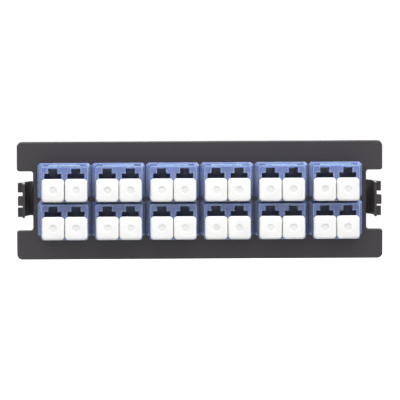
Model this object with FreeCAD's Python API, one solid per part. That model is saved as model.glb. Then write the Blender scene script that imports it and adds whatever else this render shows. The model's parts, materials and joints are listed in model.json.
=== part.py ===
"""Fibre adapter panel: a moulded plate with twelve duplex couplers, dust caps and two sprung end latches.

Sizes are in millimetres. +X runs along the panel, +Z is up and the front faces -Y. The origin is the middle
of the plate's back face, which seats on the frame that the panel is latched into.
"""
import FreeCAD
import Part

import math
import os

from FreeCAD import Vector

# Layout
COLUMNS = 6
COLUMN_PITCH = 14.72
ROW_PITCH = 10.3
PORT_PITCH = 6.25
ROW_HEIGHTS = {"top": ROW_PITCH / 2, "bottom": -ROW_PITCH / 2}

# Plate
PLATE_LENGTH = 99.2
PLATE_HEIGHT = 32.0
PLATE_THICKNESS = 2.2
PLATE_CORNER = 1.45
PLATE_EDGE = 0.25
NOTCH_DEPTH = 4.4
NOTCH_HEIGHT = 16.1
NOTCH_CORNER = 0.7
WINDOW_CLEARANCE = 0.1
RIB_LENGTH = 87.0
RIB_HEIGHT = 13.6
RIB_THICKNESS = 1.2
RIB_CORNER = 0.5
RIB_DEPTH = 3.2
RELIEF_LENGTH = 88.4
RELIEF_HEIGHT = 24.0
RELIEF_CORNER = 1.0
RELIEF_DEPTH = 0.6

# End latch
LATCH_HEIGHT = 9.3
LEG_THICKNESS = 0.6
BEND_RADIUS = 0.35
BEND_DEPTH = 7.3
LEG_LEAN = math.radians(32.0)
LEG_CURVE = 10.6
LATCH_REACH = 0.5
LATCH_END_INSET = 0.25
TAB_HEIGHT = 2.6
TAB_DEPTH = 2.1
HOOK_CATCH = 1.4
HOOK_LAND = 0.5
HOOK_RAMP = 3.4
TAB_EDGE = 0.3

# Coupler housing
COUPLER_WIDTH = 12.65
COUPLER_HEIGHT = 9.65
COUPLER_CUT = 0.4
FRONT_REACH = 9.2
COUPLER_LENGTH = 25.8
FLANGE_WIDTH = 14.4
FLANGE_HEIGHT = 9.55
FLANGE_RISE = 0.375
FLANGE_THICKNESS = 1.5
FLANGE_TOP_CUT = 0.7
FLANGE_BOTTOM_CUT = 0.45
FLANGE_EDGE = 0.55
PORT_DROP = 1.45
PORT_WIDTH = 4.6
PORT_FLOOR = 2.3
KEY_SHOULDER = 4.33
KEY_TOP = 5.7
KEY_WIDTH = 2.45
MOUTH_CHAMFER = 0.2
WEB_THICKNESS = 1.5
CATCH_SETBACK = 4.2
CATCH_LENGTH = 2.2
CATCH_RISE = 0.7
RECESS_WIDTH = 8.4
RECESS_LENGTH = 4.0
RECESS_DEPTH = 0.25
RECESS_SETBACK = 1.8
BARREL_DIAMETER = 2.9
BARREL_LENGTH = 7.8

# Alignment sleeve
SLEEVE_DIAMETER = 1.6
SLEEVE_BORE = 1.25
SLEEVE_LENGTH = 6.8
SLEEVE_SLIT = 0.3
SLEEVE_PLAY = 0.02
LIP_DIAMETER = 1.36

# Retaining clip
CLIP_THICKNESS = 0.3
CLIP_WIDTH = 7.0
CLIP_START = 0.4
CLIP_LEG = 7.4
TANG_WIDTH = 3.6
TANG_SPREAD = 0.6
TANG_ROOT = 5.6
TANG_SLOT = 0.4

# Dust cap
CAP_WIDTH = 6.05
CAP_HEIGHT = 6.15
CAP_DROP = 0.1
CAP_DEPTH = 2.5
CAP_CORNER = 1.0
CAP_EDGE = 0.45
DIMPLE_DIAMETER = 1.9
DIMPLE_FLOOR = 1.3
DIMPLE_DEPTH = 0.4
STEM_WIDTH = 4.3
STEM_LENGTH = 6.5
STEM_CHAMFER = 0.3
STEM_WALL = 0.6
STEM_BORE_DEPTH = 7.4

# Planes worked out from the sizes above
PLATE_FRONT = -PLATE_THICKNESS
COUPLER_FRONT = PLATE_FRONT - FRONT_REACH
COUPLER_BACK = COUPLER_FRONT + COUPLER_LENGTH
COUPLER_MIDDLE = (COUPLER_FRONT + COUPLER_BACK) / 2
NOTCH_INNER = PLATE_LENGTH / 2 - NOTCH_DEPTH
WINDOW_WIDTH = COUPLER_WIDTH + 2 * WINDOW_CLEARANCE
WINDOW_HEIGHT = COUPLER_HEIGHT + 2 * WINDOW_CLEARANCE
WINDOW_CUT = COUPLER_CUT + WINDOW_CLEARANCE * (2 - math.sqrt(2))
CLIP_SEAT = -RELIEF_DEPTH
CLIP_FRONT = CLIP_SEAT + CLIP_START
TANG_BACK = CLIP_SEAT + TANG_ROOT
BACKWARD = Vector(0, 1, 0)
UPWARD = Vector(0, 0, 1)


def rounded_face(corners, y=0.0):
    """Face in the XZ plane at depth y through corners (x, z, radius), each rounded by its radius."""
    points = [Vector(x, y, z) for x, z, _ in corners]
    count = len(points)
    arcs = []
    for i, (_, _, radius) in enumerate(corners):
        here = points[i]
        to_last = (points[i - 1] - here).normalize()
        to_next = (points[(i + 1) % count] - here).normalize()
        half_angle = to_last.getAngle(to_next) / 2
        reach = radius / math.tan(half_angle)
        centre = here + (to_last + to_next).normalize() * (radius / math.sin(half_angle))
        middle = centre + (here - centre).normalize() * radius if radius else here
        arcs.append((here + to_last * reach, middle, here + to_next * reach))
    edges = []
    for i, (start, middle, end) in enumerate(arcs):
        edges.append(Part.makeLine(arcs[i - 1][2], start))
        if corners[i][2]:
            edges.append(Part.Arc(start, middle, end).toShape())
    return Part.Face(Part.Wire(edges))


def rectangle(width, height, radius=0.0, x=0.0, z=0.0):
    """Corners of a rectangle centred on (x, z), rounded where a radius is given."""
    half_width = width / 2
    half_height = height / 2
    return [
        (x - half_width, z - half_height, radius),
        (x + half_width, z - half_height, radius),
        (x + half_width, z + half_height, radius),
        (x - half_width, z + half_height, radius),
    ]


def cut_rectangle(width, height, top_cut, bottom_cut, x=0.0, z=0.0):
    """Corners of a rectangle centred on (x, z) whose own corners are cut off at 45 degrees."""
    left = x - width / 2
    right = x + width / 2
    top = z + height / 2
    bottom = z - height / 2
    return [
        (left + bottom_cut, bottom, 0),
        (right - bottom_cut, bottom, 0),
        (right, bottom + bottom_cut, 0),
        (right, top - top_cut, 0),
        (right - top_cut, top, 0),
        (left + top_cut, top, 0),
        (left, top - top_cut, 0),
        (left, bottom + bottom_cut, 0),
    ]


def prism(corners, start, end):
    """Solid with an outline in XZ, running from depth start to depth end."""
    return rounded_face(corners, start).extrude(BACKWARD * (end - start))


def rod(diameter, start, end, x, z):
    """Round bar along Y."""
    return Part.makeCylinder(diameter / 2, end - start, Vector(x, start, z), BACKWARD)


def edges_at_depth(shape, y, inside=None):
    """Edges of a shape that lie in the plane at depth y, only those inside a box where one is given."""
    found = []
    for edge in shape.Edges:
        box = edge.BoundBox
        in_plane = abs(box.YMin - y) < 1e-6 and abs(box.YMax - y) < 1e-6
        if in_plane and (inside is None or inside.isInside(box)):
            found.append(edge)
    return found


def mirrored(shape):
    """Copy of a shape on the other side of the panel's middle, left to right."""
    return shape.mirror(Vector(0, 0, 0), Vector(1, 0, 0))


def coupler_places():
    """Row name, column number and the middle (x, z) of every coupler, from left to right."""
    for row, height in ROW_HEIGHTS.items():
        for column in range(COLUMNS):
            yield row, column + 1, (column - (COLUMNS - 1) / 2) * COLUMN_PITCH, height


def port_places(x, z):
    """Axis (x, z) of the left and the right port of the coupler whose middle is (x, z)."""
    return [(x - PORT_PITCH / 2, z - PORT_DROP), (x + PORT_PITCH / 2, z - PORT_DROP)]


def bend_point(radius, angle):
    """Point of the right-hand latch's bend, at a radius and an angle from +X about its pivot."""
    pivot_x = NOTCH_INNER + BEND_RADIUS
    return Vector(pivot_x + radius * math.cos(angle), BEND_DEPTH + radius * math.sin(angle), 0)


def raised(edges, bottom, height):
    """Solid made by raising a closed outline in XY from a height upwards."""
    face = Part.Face(Part.Wire(edges))
    face.translate(UPWARD * bottom)
    return face.extrude(UPWARD * height)


def bend_arc(radius, start, end):
    """Arc about the right-hand latch's pivot."""
    middle = bend_point(radius, (start + end) / 2)
    return Part.Arc(bend_point(radius, start), middle, bend_point(radius, end)).toShape()


def inner_leg():
    """Fixed leg of the right-hand latch: a wall behind the notch that ends in half of the U-bend."""
    outer = BEND_RADIUS + LEG_THICKNESS
    top = math.radians(90)
    side = math.radians(180)
    foot_near = Vector(NOTCH_INNER, PLATE_FRONT / 2, 0)
    foot_far = Vector(NOTCH_INNER - LEG_THICKNESS, PLATE_FRONT / 2, 0)
    outline = [
        bend_arc(BEND_RADIUS, top, side),
        Part.makeLine(bend_point(BEND_RADIUS, side), foot_near),
        Part.makeLine(foot_near, foot_far),
        Part.makeLine(foot_far, bend_point(outer, side)),
        bend_arc(outer, side, top),
        Part.makeLine(bend_point(outer, top), bend_point(BEND_RADIUS, top)),
    ]
    return raised(outline, -LATCH_HEIGHT / 2, LATCH_HEIGHT)


def panel_plate():
    """Plate with rounded corners, end notches, coupler windows and the latches' fixed legs. Behind the couplers
    it is thinned to the panel thickness that their clips are made for, between two ribs."""
    length = PLATE_LENGTH / 2
    height = PLATE_HEIGHT / 2
    notch = NOTCH_HEIGHT / 2
    right_side = [
        (length, -height, PLATE_CORNER),
        (length, -notch, NOTCH_CORNER),
        (NOTCH_INNER, -notch, NOTCH_CORNER),
        (NOTCH_INNER, notch, NOTCH_CORNER),
        (length, notch, NOTCH_CORNER),
        (length, height, PLATE_CORNER),
    ]
    left_side = [(-x, z, radius) for x, z, radius in reversed(right_side)]
    plate = prism(right_side + left_side, PLATE_FRONT, 0)
    plate = plate.makeChamfer(PLATE_EDGE, edges_at_depth(plate, PLATE_FRONT))
    cutters = [prism(rectangle(RELIEF_LENGTH, RELIEF_HEIGHT, RELIEF_CORNER), CLIP_SEAT, 1)]
    for _, _, x, z in coupler_places():
        window = cut_rectangle(WINDOW_WIDTH, WINDOW_HEIGHT, WINDOW_CUT, WINDOW_CUT, x, z)
        cutters.append(prism(window, PLATE_FRONT - 1, 1))
    plate = plate.cut(cutters)
    additions = [inner_leg(), mirrored(inner_leg())]
    for side in (-1, 1):
        middle = side * (RIB_HEIGHT + RIB_THICKNESS / 2)
        rib = rectangle(RIB_LENGTH, RIB_THICKNESS, RIB_CORNER, z=middle)
        additions.append(prism(rib, PLATE_FRONT / 2, RIB_DEPTH))
    return plate.fuse(additions).removeSplitter()


def latch_arm():
    """Sprung leg of the right-hand latch: its half of the U-bend, a leg that curves forwards, a finger tab
    in front of the frame's sheet and a ramped hook above and below it, behind the sheet."""
    top = math.radians(90)
    outer_bend = BEND_RADIUS + LEG_THICKNESS
    curve_shift = BEND_RADIUS - LEG_CURVE
    curve_centre = bend_point(curve_shift, LEG_LEAN)

    def curve_arc(radius, first, last):
        """Arc about the centre of the leg's long curve."""
        points = []
        for angle in (first, (first + last) / 2, last):
            points.append(curve_centre + Vector(radius * math.cos(angle), radius * math.sin(angle), 0))
        return Part.Arc(*points).toShape()

    tip_y = PLATE_FRONT - LATCH_REACH
    inner_x = curve_centre.x + LEG_CURVE
    outer_x = inner_x + LEG_THICKNESS
    end_x = PLATE_LENGTH / 2 - LATCH_END_INSET
    inner_tip = Vector(inner_x, tip_y, 0)
    outer_tip = Vector(outer_x, tip_y, 0)
    outline = [
        bend_arc(BEND_RADIUS, top, LEG_LEAN),
        curve_arc(LEG_CURVE, LEG_LEAN, 0),
        Part.makeLine(Vector(inner_x, curve_centre.y, 0), inner_tip),
        Part.makeLine(inner_tip, outer_tip),
        Part.makeLine(outer_tip, Vector(outer_x, curve_centre.y, 0)),
        curve_arc(LEG_CURVE + LEG_THICKNESS, 0, LEG_LEAN),
        bend_arc(outer_bend, LEG_LEAN, top),
        Part.makeLine(bend_point(outer_bend, top), bend_point(BEND_RADIUS, top)),
    ]
    arm = raised(outline, -LATCH_HEIGHT / 2, LATCH_HEIGHT)
    root_x = (inner_x + outer_x) / 2
    tab_back = tip_y + TAB_DEPTH
    tab = Part.makePolygon([
        Vector(root_x, tip_y, 0),
        Vector(end_x, tip_y, 0),
        Vector(end_x, tab_back, 0),
        Vector(root_x, tab_back, 0),
        Vector(root_x, tip_y, 0),
    ]).Edges
    ramp_start = HOOK_CATCH + HOOK_LAND
    ramp_end = ramp_start + HOOK_RAMP
    ramp_angle = math.asin((ramp_end - curve_centre.y) / (LEG_CURVE + LEG_THICKNESS / 2))
    ramp_x = curve_centre.x + (LEG_CURVE + LEG_THICKNESS / 2) * math.cos(ramp_angle)
    hook = Part.makePolygon([
        Vector(root_x, HOOK_CATCH, 0),
        Vector(end_x, HOOK_CATCH, 0),
        Vector(end_x, ramp_start, 0),
        Vector(ramp_x, ramp_end, 0),
        Vector(root_x, HOOK_CATCH, 0),
    ]).Edges
    finger_tab = raised(tab, -TAB_HEIGHT / 2, TAB_HEIGHT)
    outer_edges = [edge for edge in finger_tab.Edges if edge.BoundBox.XMin > end_x - 1e-6]
    finger_tab = finger_tab.makeFillet(TAB_EDGE, outer_edges)
    upper_hook = raised(hook, LATCH_HEIGHT / 2 - TAB_HEIGHT, TAB_HEIGHT)
    lower_hook = raised(hook, -LATCH_HEIGHT / 2, TAB_HEIGHT)
    return arm.fuse([finger_tab, upper_hook, lower_hook]).removeSplitter()


def port_outline(x, z):
    """Keyed port mouth: a square opening for the plug and a narrower slot above it for the plug's latch."""
    half_port = PORT_WIDTH / 2
    half_key = KEY_WIDTH / 2
    return [
        (x - half_port, z - PORT_FLOOR, 0),
        (x + half_port, z - PORT_FLOOR, 0),
        (x + half_port, z + KEY_SHOULDER, 0),
        (x + half_key, z + KEY_SHOULDER, 0),
        (x + half_key, z + KEY_TOP, 0),
        (x - half_key, z + KEY_TOP, 0),
        (x - half_key, z + KEY_SHOULDER, 0),
        (x - half_port, z + KEY_SHOULDER, 0),
    ]


def coupler():
    """Duplex coupler housing centred on X and Z, with two keyed ports at each end and a flange."""
    outline = cut_rectangle(COUPLER_WIDTH, COUPLER_HEIGHT, COUPLER_CUT, COUPLER_CUT)
    body = prism(outline, COUPLER_FRONT, COUPLER_BACK)
    flange_front = PLATE_FRONT - FLANGE_THICKNESS
    flange_outline = cut_rectangle(
        FLANGE_WIDTH, FLANGE_HEIGHT, FLANGE_TOP_CUT, FLANGE_BOTTOM_CUT, z=FLANGE_RISE,
    )
    flange = prism(flange_outline, flange_front, PLATE_FRONT)
    flange = flange.makeChamfer(FLANGE_EDGE, edges_at_depth(flange, flange_front))
    recess = Part.makeBox(
        RECESS_WIDTH, RECESS_LENGTH, RECESS_DEPTH,
        Vector(-RECESS_WIDTH / 2, COUPLER_FRONT + RECESS_SETBACK, COUPLER_HEIGHT / 2 - RECESS_DEPTH),
    )
    housing = body.cut([recess, turned_to_back(recess)]).fuse(flange)
    web_front = COUPLER_MIDDLE - WEB_THICKNESS / 2
    web_back = COUPLER_MIDDLE + WEB_THICKNESS / 2
    barrel_front = COUPLER_MIDDLE - BARREL_LENGTH / 2
    barrel_back = COUPLER_MIDDLE + BARREL_LENGTH / 2
    pocket_front = COUPLER_MIDDLE - SLEEVE_LENGTH / 2
    pocket_back = COUPLER_MIDDLE + SLEEVE_LENGTH / 2
    pocket_bore = SLEEVE_DIAMETER + 2 * SLEEVE_PLAY
    for x, z in port_places(0, 0):
        mouth = port_outline(x, z)
        cavities = [prism(mouth, COUPLER_FRONT, web_front), prism(mouth, web_back, COUPLER_BACK)]
        shoulder = z + KEY_SHOULDER
        catch = rectangle(PORT_WIDTH, 2 * CATCH_RISE, x=x, z=shoulder)
        front_catch = COUPLER_FRONT + CATCH_SETBACK
        back_catch = COUPLER_BACK - CATCH_SETBACK
        cavities.append(prism(catch, front_catch, front_catch + CATCH_LENGTH))
        cavities.append(prism(catch, back_catch - CATCH_LENGTH, back_catch))
        housing = housing.cut(cavities)
        housing = housing.fuse(rod(BARREL_DIAMETER, barrel_front, barrel_back, x, z))
        housing = housing.cut([
            rod(LIP_DIAMETER, barrel_front, barrel_back, x, z),
            rod(pocket_bore, pocket_front, pocket_back, x, z),
        ])
    housing = housing.removeSplitter()
    inside_x = COUPLER_WIDTH / 2 - COUPLER_CUT
    inside_z = COUPLER_HEIGHT / 2 - COUPLER_CUT
    mouths = FreeCAD.BoundBox(
        -inside_x, COUPLER_FRONT - 1, -inside_z, inside_x, COUPLER_BACK + 1, inside_z,
    )
    rims = edges_at_depth(housing, COUPLER_FRONT, mouths) + edges_at_depth(housing, COUPLER_BACK, mouths)
    housing = housing.makeChamfer(MOUTH_CHAMFER, rims)
    return housing.cut(clip_strap())


def clip_strap():
    """Strap that the coupler's groove takes: over the top and down both sides, flush with the housing."""
    top = COUPLER_HEIGHT / 2
    bottom = top - CLIP_LEG
    right = COUPLER_WIDTH / 2
    inner_right = right - CLIP_THICKNESS
    inner_top = top - CLIP_THICKNESS
    inner_cut = COUPLER_CUT - CLIP_THICKNESS * (2 - math.sqrt(2))
    right_half = [
        (inner_right - inner_cut, inner_top, 0),
        (inner_right, inner_top - inner_cut, 0),
        (inner_right, bottom, 0),
        (right, bottom, 0),
        (right, top - COUPLER_CUT, 0),
        (right - COUPLER_CUT, top, 0),
    ]
    left_half = [(-x, z, 0) for x, z, _ in reversed(right_half)]
    return prism(right_half + left_half, CLIP_FRONT, CLIP_FRONT + CLIP_WIDTH)


def retaining_clip():
    """Spring-steel clip: the strap with a tang lanced out of each leg, its tip bearing on the plate."""
    outside = COUPLER_WIDTH / 2
    inside = outside - CLIP_THICKNESS
    tang_bottom = -TANG_WIDTH / 2 - PORT_DROP / 2
    slot = Part.makeBox(
        CLIP_THICKNESS, TANG_BACK - CLIP_FRONT, TANG_WIDTH + 2 * TANG_SLOT,
        Vector(inside, CLIP_FRONT, tang_bottom - TANG_SLOT),
    )
    tang = raised(Part.makePolygon([
        Vector(inside, TANG_BACK, 0),
        Vector(outside, TANG_BACK, 0),
        Vector(outside + TANG_SPREAD, CLIP_SEAT, 0),
        Vector(outside + TANG_SPREAD - CLIP_THICKNESS, CLIP_SEAT, 0),
        Vector(inside, TANG_BACK, 0),
    ]).Edges, tang_bottom, TANG_WIDTH)
    clip = clip_strap().cut([slot, mirrored(slot)])
    return clip.fuse([tang, mirrored(tang)]).removeSplitter()


def alignment_sleeve():
    """Slit ceramic sleeve on the Y axis."""
    start = COUPLER_MIDDLE - SLEEVE_LENGTH / 2
    end = COUPLER_MIDDLE + SLEEVE_LENGTH / 2
    tube = rod(SLEEVE_DIAMETER, start, end, 0, 0).cut(rod(SLEEVE_BORE, start, end, 0, 0))
    slit = Part.makeBox(
        SLEEVE_SLIT, SLEEVE_LENGTH, SLEEVE_DIAMETER, Vector(-SLEEVE_SLIT / 2, start, 0),
    )
    return tube.cut(slit)


def dust_cap():
    """Front dust cap: a rounded head with a dimple, and a hollow square stem behind it on the Y axis."""
    front = COUPLER_FRONT - CAP_DEPTH
    head = prism(rectangle(CAP_WIDTH, CAP_HEIGHT, CAP_CORNER, z=-CAP_DROP), front, COUPLER_FRONT)
    head = head.makeChamfer(CAP_EDGE, edges_at_depth(head, front))
    stem_end = COUPLER_FRONT + STEM_LENGTH
    stem = prism(rectangle(STEM_WIDTH, STEM_WIDTH), COUPLER_FRONT, stem_end)
    stem = stem.makeChamfer(STEM_CHAMFER, edges_at_depth(stem, stem_end))
    dimple = Part.makeCone(
        DIMPLE_DIAMETER / 2, DIMPLE_FLOOR / 2, DIMPLE_DEPTH, Vector(0, front, -CAP_DROP), BACKWARD,
    )
    bore_width = STEM_WIDTH - 2 * STEM_WALL
    bore = prism(rectangle(bore_width, bore_width), stem_end - STEM_BORE_DEPTH, stem_end)
    return head.fuse(stem).cut([dimple, bore]).removeSplitter()


def placed(shape, x, z):
    """Copy of a shape moved to (x, z)."""
    copy = shape.copy()
    copy.translate(Vector(x, 0, z))
    return copy


def turned_to_back(shape):
    """Copy of a front piece turned round to sit at the couplers' back ends."""
    copy = shape.copy()
    copy.rotate(Vector(0, COUPLER_MIDDLE, 0), UPWARD, 180)
    return copy


def build_pieces():
    """Every piece of the panel by its node name."""
    right_arm = latch_arm()
    pieces = {
        "panel_plate": panel_plate(),
        "end_latch_arm_left": mirrored(right_arm),
        "end_latch_arm_right": right_arm,
    }
    housing = coupler()
    clip = retaining_clip()
    sleeve = alignment_sleeve()
    cap = dust_cap()
    rear_cap = turned_to_back(cap)
    clips = {row: [] for row in ROW_HEIGHTS}
    sleeves = {row: [] for row in ROW_HEIGHTS}
    for row, column, x, z in coupler_places():
        ports = port_places(x, z)
        pieces[f"coupler_{row}_{column}"] = placed(housing, x, z)
        for side, (port_x, port_z) in enumerate(ports):
            pieces[f"front_cap_{row}_{2 * column - 1 + side}"] = placed(cap, port_x, port_z)
            sleeves[row].append(placed(sleeve, port_x, port_z))
        rear_pair = [placed(rear_cap, port_x, port_z) for port_x, port_z in ports]
        pieces[f"rear_caps_{row}_{column}"] = Part.makeCompound(rear_pair)
        clips[row].append(placed(clip, x, z))
    for row in ROW_HEIGHTS:
        pieces[f"retaining_clips_{row}"] = Part.makeCompound(clips[row])
        pieces[f"alignment_sleeves_{row}"] = Part.makeCompound(sleeves[row])
    return pieces


os.makedirs("parts", exist_ok=True)
for name, shape in build_pieces().items():
    shape.exportStep(f"parts/{name}.step")
    print(name, len(shape.Solids), round(shape.Volume, 3), shape.isValid())
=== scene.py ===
# %% [markdown]
# # A fibre adapter panel
# The panel is a flat black moulding that carries two rows of blue couplers. A white dust cap closes every
# port, and a sprung latch sits in the notch at each end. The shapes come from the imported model, which is
# loaded first and stays fixed. This script gives every piece its finish and sets up the picture.

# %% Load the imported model
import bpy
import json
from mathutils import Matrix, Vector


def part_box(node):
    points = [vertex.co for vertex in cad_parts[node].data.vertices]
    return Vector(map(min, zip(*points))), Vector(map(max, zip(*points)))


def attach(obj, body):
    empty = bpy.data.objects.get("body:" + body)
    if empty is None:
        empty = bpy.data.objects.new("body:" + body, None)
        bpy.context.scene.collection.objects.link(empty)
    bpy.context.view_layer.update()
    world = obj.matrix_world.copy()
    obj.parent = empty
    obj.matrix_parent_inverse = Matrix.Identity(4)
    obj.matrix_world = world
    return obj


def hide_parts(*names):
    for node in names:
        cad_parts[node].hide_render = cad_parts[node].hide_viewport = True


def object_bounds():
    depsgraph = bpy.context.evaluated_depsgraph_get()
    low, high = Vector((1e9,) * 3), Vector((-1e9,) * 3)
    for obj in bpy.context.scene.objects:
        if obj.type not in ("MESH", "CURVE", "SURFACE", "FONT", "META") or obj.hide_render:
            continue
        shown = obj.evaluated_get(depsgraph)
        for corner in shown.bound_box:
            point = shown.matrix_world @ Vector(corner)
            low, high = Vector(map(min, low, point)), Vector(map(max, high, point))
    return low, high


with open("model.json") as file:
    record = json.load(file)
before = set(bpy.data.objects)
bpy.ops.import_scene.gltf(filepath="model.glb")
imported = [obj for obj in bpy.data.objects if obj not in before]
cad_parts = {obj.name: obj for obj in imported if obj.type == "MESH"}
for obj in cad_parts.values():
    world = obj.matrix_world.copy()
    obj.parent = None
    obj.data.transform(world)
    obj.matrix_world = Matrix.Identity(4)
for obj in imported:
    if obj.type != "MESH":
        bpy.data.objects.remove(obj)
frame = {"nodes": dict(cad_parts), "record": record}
cad_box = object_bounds()
print("pieces in the packed model:", len(frame["nodes"]))

# %% [markdown]
# ## The camera
# The photograph looks almost straight at the panel, from a little above and a touch to the left. One known
# size sets the scale: the two ports of a coupler are 6.25 mm apart, and 23 pixels apart in the photograph.
# The camera could be moved by eye until the picture fits. Working out its aim from the plate's middle pixel
# does the same and stays right when the model changes.

# %% Viewing direction and aim
import json
import math
import bpy
from mathutils import Matrix, Quaternion, Vector

PHOTO_PIXELS = 400
PIXELS_PER_METRE = 3685
PLATE_MIDDLE_PIXEL = (199.75, 200.1)
ELEVATION = math.radians(4.5)
AZIMUTH = math.radians(-1.2)
MM_PER_METRE = 1000

plate_low, plate_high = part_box("panel_plate")
plate_middle = Vector((0, plate_low.y, (plate_low.z + plate_high.z) / 2))
towards_camera = Vector((
    math.sin(AZIMUTH) * math.cos(ELEVATION),
    -math.cos(AZIMUTH) * math.cos(ELEVATION),
    math.sin(ELEVATION),
))
view_right = Vector((math.cos(AZIMUTH), math.sin(AZIMUTH), 0))
view_up = towards_camera.cross(view_right)
offset_right = (PHOTO_PIXELS / 2 - PLATE_MIDDLE_PIXEL[0]) / PIXELS_PER_METRE
offset_up = (PLATE_MIDDLE_PIXEL[1] - PHOTO_PIXELS / 2) / PIXELS_PER_METRE
aim = plate_middle + view_right * offset_right + view_up * offset_up
print("aim of the camera in millimetres:", [round(MM_PER_METRE * side, 2) for side in aim])

# %% [markdown]
# Parallel edges stay parallel in the photograph, so the lens is a very long one. An orthographic camera
# would look nearly the same, but a lens keeps the small change of size between the caps and the plate. The
# distance follows from the lens and the width of the picture, and a slight roll tilts the rows as the
# photograph has them.

# %% Camera
LENS_MM = 1000
SENSOR_MM = 36
ROLL = math.radians(-0.22)
CLIP_IN_DISTANCES = 3

distance = PHOTO_PIXELS / PIXELS_PER_METRE * LENS_MM / SENSOR_MM
bpy.ops.object.select_all(action="DESELECT")
bpy.ops.object.camera_add(location=aim + towards_camera * distance)
camera = bpy.context.object
camera.rotation_mode = "QUATERNION"
camera.rotation_quaternion = (-towards_camera).to_track_quat("-Z", "Y") @ Quaternion((0, 0, 1), ROLL)
camera.data.lens = LENS_MM
camera.data.sensor_width = SENSOR_MM
camera.data.clip_end = distance * CLIP_IN_DISTANCES
bpy.context.scene.camera = camera
print("camera distance in metres:", round(distance, 3))

# %% [markdown]
# ## Helpers for finishes
# Every finish starts from the same physically based shader and reads the object's own coordinates in
# metres, so a scale of 1000 makes a pattern about a millimetre across. The nodes could be placed by hand in
# the shader editor. Written as a function, a finish can be read from top to bottom and made again.

# %% Starting a finish and adding a node
def new_finish(name):
    """Empty material with its shader and the object's coordinates."""
    material = bpy.data.materials.new(name)
    material.use_nodes = True
    tree = material.node_tree
    place = tree.nodes.new("ShaderNodeTexCoord").outputs["Object"]
    return material, tree, tree.nodes["Principled BSDF"], place


def add_node(tree, kind, inputs=None, **settings):
    """New node with some settings, its inputs given as values or as another node's output."""
    node = tree.nodes.new(kind)
    for key, value in settings.items():
        setattr(node, key, value)
    for key, value in (inputs or {}).items():
        if isinstance(value, bpy.types.NodeSocket):
            tree.links.new(value, node.inputs[key])
        else:
            node.inputs[key].default_value = value
    return node

# %% [markdown]
# No moulded surface is quite even. A noise pattern varies the tone and the roughness, and a mix goes from
# one colour to another along it. The middle part of the noise, where most of its values lie, is stretched
# to the range that a finish needs.

# %% Patterns and colours
NOISE_START = 0.3
NOISE_END = 0.7
# A Mix node has sockets for numbers, vectors and colours. These are the ones that it uses for colours.
MIX_SHARE = 0
MIX_COLOURS = (6, 7)
MIX_RESULT = 2


def noise(tree, place, scale, detail):
    """Grey cloud pattern."""
    settings = {"Vector": place, "Scale": scale, "Detail": detail}
    return add_node(tree, "ShaderNodeTexNoise", settings).outputs["Fac"]


def spread(tree, value, low, high, start=NOISE_START, end=NOISE_END):
    """Stretches a pattern from start..end to low..high."""
    settings = {"Value": value, "From Min": start, "From Max": end, "To Min": low, "To Max": high}
    return add_node(tree, "ShaderNodeMapRange", settings).outputs["Result"]


def scaled_mask(tree, mask, low, high):
    """Takes a mask from 0..1 to low..high."""
    return spread(tree, mask, low, high, start=0, end=1)


def between(tree, share, first, second):
    """Colour that goes from the first to the second as share goes from 0 to 1."""
    node = add_node(tree, "ShaderNodeMix", data_type="RGBA")
    tree.links.new(share, node.inputs[MIX_SHARE])
    for index, colour in zip(MIX_COLOURS, (first, second)):
        if isinstance(colour, bpy.types.NodeSocket):
            tree.links.new(colour, node.inputs[index])
        else:
            node.inputs[index].default_value = (*colour, 1)
    return node.outputs[MIX_RESULT]

# %% [markdown]
# The edge mask compares the true normal with one that is rounded over a small radius: they differ only
# beside an edge, where the finishes paint a highlight on the black and a glow on the blue. The recess mask
# asks how much of its surroundings a point can see. That is little deep in a gap, where the finishes paint
# light into the shade. Both could be painted by hand, but a mask that reads the shape fits every piece.

# %% Edges and gaps
ROUNDED_SAMPLES = 4
OPENNESS_SAMPLES = 8
EDGE_LIKENESS = 0.80
FLAT_LIKENESS = 0.99
DEEP_OPENNESS = 0.05


def rounded_normal(tree, radius):
    """Normal of the surface as if its edges were rounded to that radius in metres."""
    return add_node(tree, "ShaderNodeBevel", {"Radius": radius}, samples=ROUNDED_SAMPLES).outputs["Normal"]


def edge_mask(tree, radius):
    """About 1 beside an edge and 0 on open surfaces."""
    rounded = rounded_normal(tree, radius)
    flat = add_node(tree, "ShaderNodeNewGeometry").outputs["Normal"]
    likeness = add_node(tree, "ShaderNodeVectorMath", {0: rounded, 1: flat}, operation="DOT_PRODUCT")
    return spread(tree, likeness.outputs["Value"], 1, 0, start=EDGE_LIKENESS, end=FLAT_LIKENESS)


def recess_mask(tree, reach, limit):
    """1 deep in a gap, and 0 where more than that share of the sky within reach is open."""
    settings = {"Distance": reach}
    node = add_node(tree, "ShaderNodeAmbientOcclusion", settings, samples=OPENNESS_SAMPLES)
    return spread(tree, node.outputs["AO"], 1, 0, start=DEEP_OPENNESS, end=limit)

# %% [markdown]
# The grain of a mould is hundredths of a millimetre deep. Real geometry that fine would take millions of
# faces, so a bump pattern tilts the surface's normal instead, on top of the softened edges.

# %% Grain
def rough_surface(tree, height, depth, radius):
    """Normal of a surface with softened edges and a pattern of that depth in metres."""
    rounded = rounded_normal(tree, radius)
    settings = {"Height": height, "Strength": 1.0, "Distance": depth, "Normal": rounded}
    return add_node(tree, "ShaderNodeBump", settings).outputs["Normal"]

# %% [markdown]
# ## Black moulded plastic
# The plate and the latch arms are moulded in a black plastic with a fine spark-eroded texture. It scatters
# light widely, so the black looks dark grey in the studio. One flat colour would look like cut paper. Here
# the tone drifts a little, edges are smoother and get a painted highlight, and painted light makes the
# plastic paler in the gaps behind the latches.

# %% Finish of the plate and latch arms
BLACK_LOW = (0.0125, 0.0085, 0.0125)
BLACK_HIGH = (0.0175, 0.013, 0.0175)
GAP_PAINTED_LIGHT = (0.24, 0.22, 0.225)
EDGE_PAINTED_HIGHLIGHT = (0.08, 0.077, 0.083)
GAP_REACH = 0.006


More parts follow.
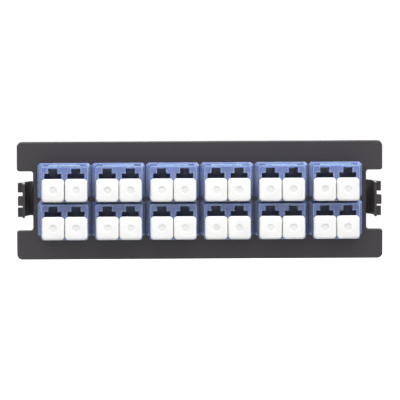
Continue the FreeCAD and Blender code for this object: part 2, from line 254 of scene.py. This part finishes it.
def black_moulding():
    """Matt black plastic with a fine moulded grain."""
    material, tree, shader, place = new_finish("black_moulding")
    cloud = noise(tree, place, scale=40, detail=4)
    tone = between(tree, spread(tree, cloud, 0, 1), BLACK_LOW, BLACK_HIGH)
    # Painted light: the plastic is paler deep in the gaps, where the lamps leave it in shade.
    gap_lit = between(tree, recess_mask(tree, GAP_REACH, limit=0.45), tone, GAP_PAINTED_LIGHT)
    # Painted highlight: a lighter tone beside every edge.
    edge_highlight_share = scaled_mask(tree, edge_mask(tree, radius=0.0002), low=0, high=0.6)
    painted_light_tone = between(tree, edge_highlight_share, gap_lit, EDGE_PAINTED_HIGHLIGHT)
    tree.links.new(painted_light_tone, shader.inputs["Base Color"])
    tree.links.new(spread(tree, cloud, low=0.46, high=0.60), shader.inputs["Roughness"])
    grain = noise(tree, place, scale=3200, detail=2)
    tree.links.new(rough_surface(tree, grain, depth=0.00003, radius=0.0001), shader.inputs["Normal"])
    shader.inputs["Specular IOR Level"].default_value = 0.56
    return material


finishes = {"black_plastic": black_moulding()}
print("nodes of the black finish:", len(finishes["black_plastic"].node_tree.nodes))

# %% [markdown]
# ## Blue coupler plastic
# The couplers are a smooth blue plastic that lets some light in. Light that enters at a thin wall or an
# edge comes out again nearby, which makes the edges glow and keeps the ports from going black. A clear
# shader would show too much of the inside, so subsurface scattering does part of this, with a longer reach
# for blue light than for red. As that isn't enough, the rest is painted: a paler tone as painted light in
# the recesses and as a painted glow on the edges.

# %% Finish of the couplers
BLUE_LOW = (0.135, 0.185, 0.400)
BLUE_HIGH = (0.165, 0.220, 0.450)
PORT_PAINTED_LIGHT = (0.60, 0.68, 0.85)
EDGE_PAINTED_GLOW = (0.52, 0.69, 0.96)


def blue_moulding():
    """Glossy, slightly translucent blue plastic."""
    material, tree, shader, place = new_finish("blue_moulding")
    cloud = noise(tree, place, scale=160, detail=3)
    tone = between(tree, spread(tree, cloud, 0, 1), BLUE_LOW, BLUE_HIGH)
    # Painted light: the ports and key slots get a paler tone deep in the recesses.
    deep = between(tree, recess_mask(tree, GAP_REACH, limit=0.18), tone, PORT_PAINTED_LIGHT)
    # Painted glow: a paler, bluer tone beside every edge.
    edge_light = scaled_mask(tree, edge_mask(tree, radius=0.00045), low=0, high=0.75)
    glow = between(tree, edge_light, deep, EDGE_PAINTED_GLOW)
    tree.links.new(glow, shader.inputs["Base Color"])
    tree.links.new(spread(tree, cloud, low=0.20, high=0.32), shader.inputs["Roughness"])
    ripple = noise(tree, place, scale=900, detail=2)
    tree.links.new(rough_surface(tree, ripple, depth=0.00001, radius=0.00012), shader.inputs["Normal"])
    shader.inputs["Subsurface Weight"].default_value = 0.8
    shader.inputs["Subsurface Radius"].default_value = (0.7, 0.9, 1.5)
    shader.inputs["Subsurface Scale"].default_value = 0.0015
    shader.inputs["IOR"].default_value = 1.5
    return material


finishes["blue_plastic"] = blue_moulding()
print("nodes of the blue finish:", len(finishes["blue_plastic"].node_tree.nodes))

# %% [markdown]
# ## White dust caps
# Dust caps are soft white polyethylene: satin, a little waxy, and never quite even in tone. A little
# subsurface scattering gives the waxy depth. The floor of the dimple in a cap's face gets a greyer tone,
# painted shade for the hollow. One function makes both finishes.

# %% Finish of the dust caps
CAP_LOW = (0.88, 0.88, 0.87)
CAP_HIGH = (0.93, 0.93, 0.92)


def white_cap_plastic(name, low_tone, high_tone):
    """Satin white plastic with a waxy depth."""
    material, tree, shader, place = new_finish(name)
    cloud = noise(tree, place, scale=220, detail=3)
    tone = between(tree, spread(tree, cloud, 0, 1), low_tone, high_tone)
    tree.links.new(tone, shader.inputs["Base Color"])
    tree.links.new(spread(tree, cloud, low=0.36, high=0.50), shader.inputs["Roughness"])
    grain = noise(tree, place, scale=1500, detail=2)
    tree.links.new(rough_surface(tree, grain, depth=0.00001, radius=0.0001), shader.inputs["Normal"])
    shader.inputs["Subsurface Weight"].default_value = 0.2
    shader.inputs["Subsurface Radius"].default_value = (1.0, 0.9, 0.8)
    shader.inputs["Subsurface Scale"].default_value = 0.0008
    return material


finishes["white_plastic"] = white_cap_plastic("white_cap_plastic", CAP_LOW, CAP_HIGH)
print("nodes of the white finish:", len(finishes["white_plastic"].node_tree.nodes))

# %% [markdown]
# ## Spring steel
# The retaining clips are stamped from rolled spring steel. Fine rolling lines run over them from front to
# back, along the springy tangs. Anisotropic gloss could give that look, but a noise that is stretched
# along the lines also shows in the tone, as it does on real steel.

# %% Finish of the clips
STEEL_LOW = (0.50, 0.49, 0.47)
STEEL_HIGH = (0.66, 0.65, 0.63)
ROLLING_SCALE = (3000, 60, 3000)


def rolled_steel():
    """Spring steel with fine rolling lines along Y."""
    material, tree, shader, place = new_finish("rolled_steel")
    stretched = add_node(tree, "ShaderNodeMapping", {"Vector": place, "Scale": ROLLING_SCALE})
    lines = noise(tree, stretched.outputs["Vector"], scale=1, detail=3)
    tone = between(tree, spread(tree, lines, 0, 1), STEEL_LOW, STEEL_HIGH)
    tree.links.new(tone, shader.inputs["Base Color"])
    tree.links.new(spread(tree, lines, low=0.24, high=0.40), shader.inputs["Roughness"])
    tree.links.new(rough_surface(tree, lines, depth=0.000005, radius=0.00006), shader.inputs["Normal"])
    shader.inputs["Metallic"].default_value = 1.0
    return material


finishes["spring_steel"] = rolled_steel()
print("nodes of the steel finish:", len(finishes["spring_steel"].node_tree.nodes))

# %% [markdown]
# ## Ceramic
# The sleeves inside the couplers are polished zirconia, an ivory white ceramic. They show only through an
# open port, so a slightly uneven tone and gloss are enough.

# %% Finish of the sleeves
IVORY_LOW = (0.80, 0.78, 0.72)
IVORY_HIGH = (0.88, 0.86, 0.81)


def polished_ceramic():
    """Ivory white ceramic."""
    material, tree, shader, place = new_finish("polished_ceramic")
    cloud = noise(tree, place, scale=900, detail=3)
    tone = between(tree, spread(tree, cloud, 0, 1), IVORY_LOW, IVORY_HIGH)
    tree.links.new(tone, shader.inputs["Base Color"])
    tree.links.new(spread(tree, cloud, low=0.12, high=0.2), shader.inputs["Roughness"])
    return material


finishes["zirconia"] = polished_ceramic()
print("nodes of the ceramic finish:", len(finishes["zirconia"].node_tree.nodes))

# %% [markdown]
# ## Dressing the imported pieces
# The record says which slot each node takes its finish from. Each node could be given its material by
# name, but the table of finishes goes from slot to material, so that one loop dresses every node.

# %% Assign the finishes
for subpart in frame["record"]["subparts"]:
    mesh = frame["nodes"][subpart["node"]].data
    mesh.materials.clear()
    mesh.materials.append(finishes[subpart["material_slot"]])

# %% [markdown]
# ## Dust caps
# A real dust cap is moulded with soft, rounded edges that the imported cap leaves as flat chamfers. One cap
# is modelled here with smooth edges and copied to every port, each copy with its own mesh. The head could
# be a subdivided cage, but bevels on a cube keep its size exact. The outer sizes come from a packed cap
# and its coupler.

# %% Sizes of a cap
cap_low, cap_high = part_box("front_cap_top_1")
coupler_low, coupler_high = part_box("coupler_top_1")
head_size = Vector((cap_high.x - cap_low.x, coupler_low.y - cap_low.y, cap_high.z - cap_low.z))
stem_end = cap_high.y
cap_axis = (cap_low + cap_high) / 2
print("head of a cap in millimetres:", [round(MM_PER_METRE * side, 2) for side in head_size])

# %% [markdown]
# An operator acts on all that is selected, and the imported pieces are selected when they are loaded. So
# everything is deselected before a new piece is made, and its edges are then picked by their place.

# %% Helpers for a new piece
def start_piece():
    """Leaves edit mode and deselects everything, so that an operator acts on the new piece alone."""
    if bpy.context.object and bpy.context.object.mode == "EDIT":
        bpy.ops.object.mode_set(mode="OBJECT")
    bpy.ops.object.select_all(action="DESELECT")


def apply_place():
    """Moves the active piece's place, turn and size into its mesh."""
    bpy.ops.object.transform_apply(location=True, rotation=True, scale=True)


def bar(name, middle, size):
    """Block of that size with its place in its mesh."""
    start_piece()
    bpy.ops.mesh.primitive_cube_add(size=1, location=middle, scale=size)
    bpy.context.object.name = name
    apply_place()
    return bpy.context.object


def select_edges(piece, wanted):
    """Selects, in edit mode, the edges for which wanted(first end, second end) holds."""
    bpy.ops.object.mode_set(mode="EDIT")
    bpy.ops.mesh.select_mode(type="EDGE")
    bpy.ops.mesh.select_all(action="DESELECT")
    bpy.ops.object.mode_set(mode="OBJECT")
    points = piece.data.vertices
    for edge in piece.data.edges:
        edge.select = wanted(*(points[index].co for index in edge.vertices))
    bpy.ops.object.mode_set(mode="EDIT")

# %% [markdown]
# The head is a cube. Its four long edges get the corner radius first, so that the front edge can then be
# rounded in one loop all the way round. The back edge, which lies against the coupler, gets a smaller one.

# %% Head of the cap
CORNER_RADIUS = 0.001
CORNER_STEPS = 8
FRONT_ROUNDING = 0.00055
FRONT_STEPS = 6
BACK_ROUNDING = 0.0002
BACK_STEPS = 3
TOUCH = 1e-6

head_middle = Vector((cap_axis.x, cap_low.y + head_size.y / 2, cap_axis.z))
cap = bar("cap", head_middle, head_size)
select_edges(cap, lambda first, second: abs(first.y - second.y) > head_size.y / 2)
bpy.ops.mesh.bevel(offset=CORNER_RADIUS, segments=CORNER_STEPS, affect="EDGES")
select_edges(cap, lambda first, second: max(first.y, second.y) < cap_low.y + TOUCH)
bpy.ops.mesh.bevel(offset=FRONT_ROUNDING, segments=FRONT_STEPS, affect="EDGES")
select_edges(cap, lambda first, second: min(first.y, second.y) > coupler_low.y - TOUCH)
bpy.ops.mesh.bevel(offset=BACK_ROUNDING, segments=BACK_STEPS, affect="EDGES")
bpy.ops.object.mode_set(mode="OBJECT")
print("faces of the head:", len(cap.data.polygons))

# %% [markdown]
# The stem, which plugs the port, is a second block with rounded long edges. The head hangs a little lower
# than the stem, so the two are made apart and joined by a boolean modifier. Extruding the stem from the
# head would need a face of just its outline there.

# %% Stem
HEAD_DROP = 0.0001
STEM_WIDTH = 0.0043
STEM_ROUNDING = 0.0004
STEM_STEPS = 4


def combine(piece, tool, operation):
    """Joins a tool to the piece or cuts it away, and deletes the tool."""
    start_piece()
    bpy.context.view_layer.objects.active = piece
    piece.select_set(True)
    modifier = piece.modifiers.new(operation.lower(), "BOOLEAN")
    modifier.object = tool
    modifier.operation = operation
    modifier.solver = "EXACT"
    bpy.ops.object.modifier_apply(modifier=modifier.name)
    bpy.data.objects.remove(tool)


stem_start = coupler_low.y - head_size.y / 2
stem_height = cap_axis.z + HEAD_DROP
stem_middle = Vector((cap_axis.x, (stem_start + stem_end) / 2, stem_height))
stem = bar("stem", stem_middle, (STEM_WIDTH, stem_end - stem_start, STEM_WIDTH))
select_edges(stem, lambda first, second: abs(first.y - second.y) > head_size.y / 2)
bpy.ops.mesh.bevel(offset=STEM_ROUNDING, segments=STEM_STEPS, affect="EDGES")
select_edges(stem, lambda first, second: min(first.y, second.y) > stem_end - TOUCH)
bpy.ops.mesh.bevel(offset=BACK_ROUNDING, segments=BACK_STEPS, affect="EDGES")
combine(cap, stem, "UNION")
print("faces of head and stem:", len(cap.data.polygons))

# %% [markdown]
# The stem is hollow, and the head has a shallow round dimple in its face. Both are cut away, because a
# bevelled cube has no round loop to push in. Shading is then smooth over the rounded edges and sharp at
# the rims.

# %% Bore and dimple
STEM_WALL = 0.0006
BORE_DEPTH = 0.0074
DIMPLE_RADIUS = 0.00105
DIMPLE_FLOOR_RADIUS = 0.00095
DIMPLE_DEPTH = 0.0001
DIMPLE_SIDES = 40
SMOOTH_BELOW = math.radians(35)

bore_width = STEM_WIDTH - 2 * STEM_WALL
bore_middle = Vector((cap_axis.x, stem_end - BORE_DEPTH / 2 + TOUCH, stem_height))
combine(cap, bar("bore", bore_middle, (bore_width, BORE_DEPTH, bore_width)), "DIFFERENCE")
start_piece()
bpy.ops.mesh.primitive_cone_add(
    vertices=DIMPLE_SIDES, radius1=DIMPLE_RADIUS, radius2=DIMPLE_FLOOR_RADIUS, depth=DIMPLE_DEPTH,
    location=(cap_axis.x, cap_low.y + DIMPLE_DEPTH / 2 - TOUCH, cap_axis.z), rotation=(-math.pi / 2, 0, 0),
)
dimple = bpy.context.object
apply_place()
combine(cap, dimple, "DIFFERENCE")
start_piece()
bpy.context.view_layer.objects.active = cap
cap.select_set(True)
bpy.ops.object.shade_smooth_by_angle(angle=SMOOTH_BELOW)
print("faces of the finished cap:", len(cap.data.polygons))

# %% [markdown]
# The cap takes the white finish, and the dimple's floor a greyer one, which is painted shade. A pattern
# could mark the floor, but its face is found by its depth and given a material slot of its own, which keeps
# a clean rim.

# %% Finish of the cap and the painted shade on the dimple's floor
DIMPLE_SHADE_LOW = (0.79, 0.79, 0.78)
DIMPLE_SHADE_HIGH = (0.84, 0.84, 0.83)

cap.data.materials.clear()
cap.data.materials.append(finishes["white_plastic"])
# Painted shade: the dimple's floor takes a greyer copy of the white finish.
cap.data.materials.append(white_cap_plastic("dimple_painted_shade", DIMPLE_SHADE_LOW, DIMPLE_SHADE_HIGH))
painted_shade_slot = len(cap.data.materials) - 1
dimple_level = cap_low.y + DIMPLE_DEPTH
floor_faces = [face for face in cap.data.polygons if abs(face.center.y - dimple_level) < 2 * TOUCH]
for face in floor_faces:
    face.material_index = painted_shade_slot
print("faces of the dimple's floor:", len(floor_faces))

# %% [markdown]
# Every packed cap is replaced by a copy at its own place. A front cap rides on its own body, because each
# one can be pulled out. The rear caps are the same cap turned round, two to a node, and ride on the panel.
# Linked copies would share one mesh, but each piece sits at the origin with its place in its own mesh, as
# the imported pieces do.

# %% Placing a copy of the cap
def cap_copy(name, matrices, body):
    """Piece with one cap for each matrix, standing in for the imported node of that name."""
    start_piece()
    copies = []
    for matrix in matrices:
        copy = bpy.data.objects.new(name + ".smooth", cap.data.copy())
        bpy.context.collection.objects.link(copy)
        copy.data.transform(matrix)
        copy.select_set(True)
        copies.append(copy)
    bpy.context.view_layer.objects.active = copies[0]
    if len(copies) > 1:
        bpy.ops.object.join()
    piece = bpy.context.view_layer.objects.active
    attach(piece, body)
    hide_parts(name)
    return piece


def port_axis(row, number):
    """Middle of the front cap in a port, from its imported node."""
    low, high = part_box(f"front_cap_{row}_{number}")
    return (low + high) / 2

# %% [markdown]
# A copy is moved by the step from the first port to its own. A rear cap is first turned by half a turn
# about an upright line halfway through the coupler, which puts it in the port behind.

# %% Copies for all ports
PORTS_PER_ROW = 12
PORTS_PER_COUPLER = 2

coupler_middle = (coupler_low + coupler_high) / 2
half_turn = Matrix.Rotation(math.pi, 4, "Z")
about_port = Matrix.Translation((cap_axis.x, coupler_middle.y, 0))
turned_back = about_port @ half_turn @ about_port.inverted()
ports = range(1, PORTS_PER_ROW + 1)
cap_pieces = []
for row in ("top", "bottom"):
    shifts = [Matrix.Translation(port_axis(row, number) - cap_axis) for number in ports]
    for number, shift in zip(ports, shifts):
        node = f"front_cap_{row}_{number}"
        cap_pieces.append(cap_copy(node, [shift], node))
    for first in range(0, len(shifts), PORTS_PER_COUPLER):
        node = f"rear_caps_{row}_{first // PORTS_PER_COUPLER + 1}"
        places = [shift @ turned_back for shift in shifts[first:first + PORTS_PER_COUPLER]]
        cap_pieces.append(cap_copy(node, places, "panel"))
bpy.data.objects.remove(cap)
print("cap pieces:", len(cap_pieces))

# %% [markdown]
# ## Floor
# The photograph has a plain white surround. The panel is a part that hangs in a frame, so the floor lies
# well below it. A floor that is white by itself would throw much light up at the panel. So it is grey, and
# glows up to white only for the rays that see it directly.

# %% Floor
FLOOR_DROP = 0.045
FLOOR_SIZE = 6.0
FLOOR_GREY = (0.4, 0.4, 0.4, 1)
FLOOR_LIFT = 0.85
WHITE = (1, 1, 1, 1)


def seen_directly(tree):
    """1 where the camera, a reflection or a clear material looks at the surround, and 0 for its light."""
    rays = tree.nodes.new("ShaderNodeLightPath").outputs
    pair = {0: rays["Is Camera Ray"], 1: rays["Is Glossy Ray"]}
    either = add_node(tree, "ShaderNodeMath", pair, operation="MAXIMUM").outputs[0]
    pair = {0: either, 1: rays["Is Transmission Ray"]}
    return add_node(tree, "ShaderNodeMath", pair, operation="MAXIMUM").outputs[0]


ground_level = cad_box[0].z - FLOOR_DROP
start_piece()
bpy.ops.mesh.primitive_plane_add(size=FLOOR_SIZE, location=(0, 0, ground_level))
floor = bpy.context.object
floor.name = "floor"
floor_finish, tree, shader, _ = new_finish("white_floor")
shader.inputs["Base Color"].default_value = FLOOR_GREY
shader.inputs["Roughness"].default_value = 0.9
shader.inputs["Emission Color"].default_value = WHITE
lift = scaled_mask(tree, seen_directly(tree), low=0, high=FLOOR_LIFT)
tree.links.new(lift, shader.inputs["Emission Strength"])
floor.data.materials.append(floor_finish)
print("floor level in millimetres:", round(MM_PER_METRE * ground_level, 1))

# %% [markdown]
# ## World
# Beyond the floor the world is the surround, as white walls are in a studio. It is white where it is seen
# directly. As a light it is even and weak, so that the lamps make the shadows.

# %% World
AMBIENT = 0.20

world = bpy.data.worlds.new("white_surround")
bpy.context.scene.world = world
world.use_nodes = True
tree = world.node_tree
background = tree.nodes["Background"]
background.inputs["Color"].default_value = WHITE
strength = scaled_mask(tree, seen_directly(tree), low=AMBIENT, high=1)
tree.links.new(strength, background.inputs["Strength"])
print("strength of the world's own light:", AMBIENT)

# %% [markdown]
# ## Lamps
# A long softbox above and in front models the tops of the upper couplers. A weak one in front, near the
# line of sight, reaches into the key slots above the caps, and another behind the panel lights the rear
# ports. Small lamps would throw hard shadows, which the photograph doesn't have. The Standard view shows
# colours as they are written.

# %% Lamps
def softbox(name, place, width, height, watts):
    """Rectangular lamp that faces the panel."""
    start_piece()
    bpy.ops.object.light_add(type="AREA", location=place)
    lamp = bpy.context.object
    lamp.name = name
    lamp.data.shape = "RECTANGLE"
    lamp.data.size = width
    lamp.data.size_y = height
    lamp.data.energy = watts
    lamp.rotation_mode = "QUATERNION"
    lamp.rotation_quaternion = (-Vector(place)).to_track_quat("-Z", "Y")
    print(name, "in watts:", watts)


softbox("top_softbox", place=(0.08, -0.25, 0.52), width=1.2, height=0.12, watts=7.3)
softbox("front_softbox", place=(-0.2, -1.2, 0.15), width=0.8, height=0.8, watts=1.8)
softbox("back_softbox", place=(-0.15, 0.50, 0.16), width=0.6, height=0.3, watts=2.2)
bpy.context.scene.view_settings.view_transform = "Standard"
